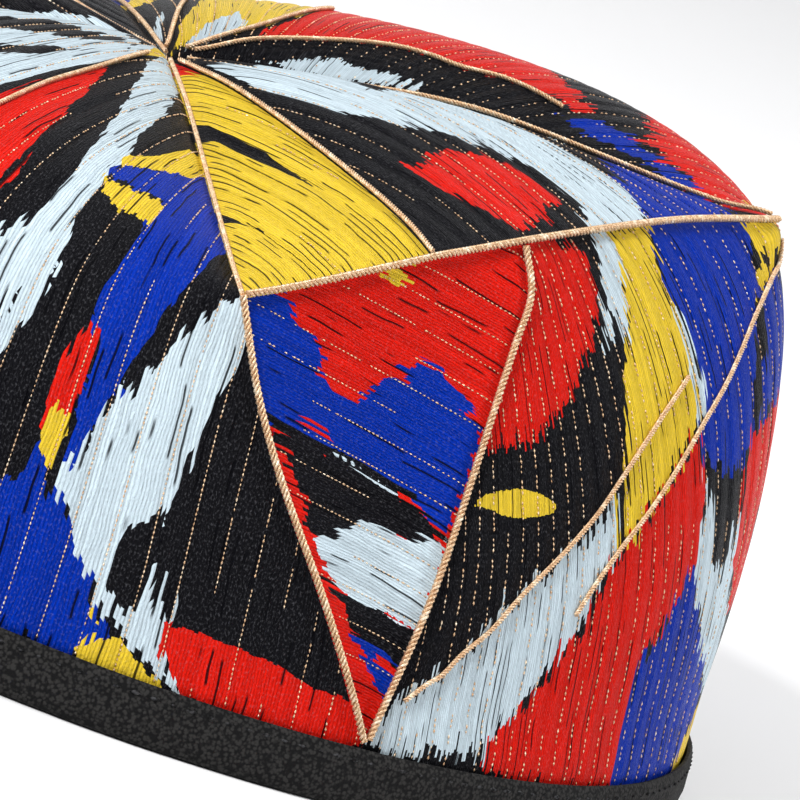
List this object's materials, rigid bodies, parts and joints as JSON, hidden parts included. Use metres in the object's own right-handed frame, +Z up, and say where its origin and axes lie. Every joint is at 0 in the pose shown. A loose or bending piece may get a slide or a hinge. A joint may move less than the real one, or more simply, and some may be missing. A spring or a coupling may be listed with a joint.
{
  "type": "tubeteika skullcap",
  "caption": "Soft, hollow, brimless skullcap with a four-cornered embroidered crown that slumps to one side, gold cords over its seams and a black binding round the rim.",
  "frame": {"origin": "middle of the rim's underside", "axes": "+Z up, out of the crown; -Y is the side that is seen, with the folded pleat at its right; +X is the wearer-neutral right of the picture"},
  "size_m": [0.1812, 0.1812, 0.0851],
  "materials": {
    "embroidered_gore": "satin stitch in blue, black, red, yellow and pale thread",
    "embroidered_wedge": "yellow satin stitch",
    "embroidered_crown": "black satin stitch with red, blue and pale shapes",
    "embroidered_pleat": "red, blue, black and pale satin stitch",
    "black_binding": "matte crepe",
    "gold_cord": "twisted metallic thread"
  },
  "bodies": {
    "root": {"gore_left": "embroidered_gore", "gore_right": "embroidered_gore", "crown_wedge_front": "embroidered_wedge", "crown_wedge_rear": "embroidered_wedge", "crown_panel_front": "embroidered_crown", "crown_panel_rear": "embroidered_crown", "pleat_front": "embroidered_pleat", "pleat_rear": "embroidered_pleat", "band": "black_binding", "seam_cord_front": "gold_cord", "seam_cord_rear": "gold_cord", "edge_cord_front": "gold_cord", "edge_cord_rear": "gold_cord", "pleat_cord_front": "gold_cord", "pleat_cord_rear": "gold_cord", "ridge_cord_front": "gold_cord", "ridge_cord_rear": "gold_cord", "crown_cord_front": "gold_cord", "crown_cord_rear": "gold_cord"}
  },
  "joints": []
}
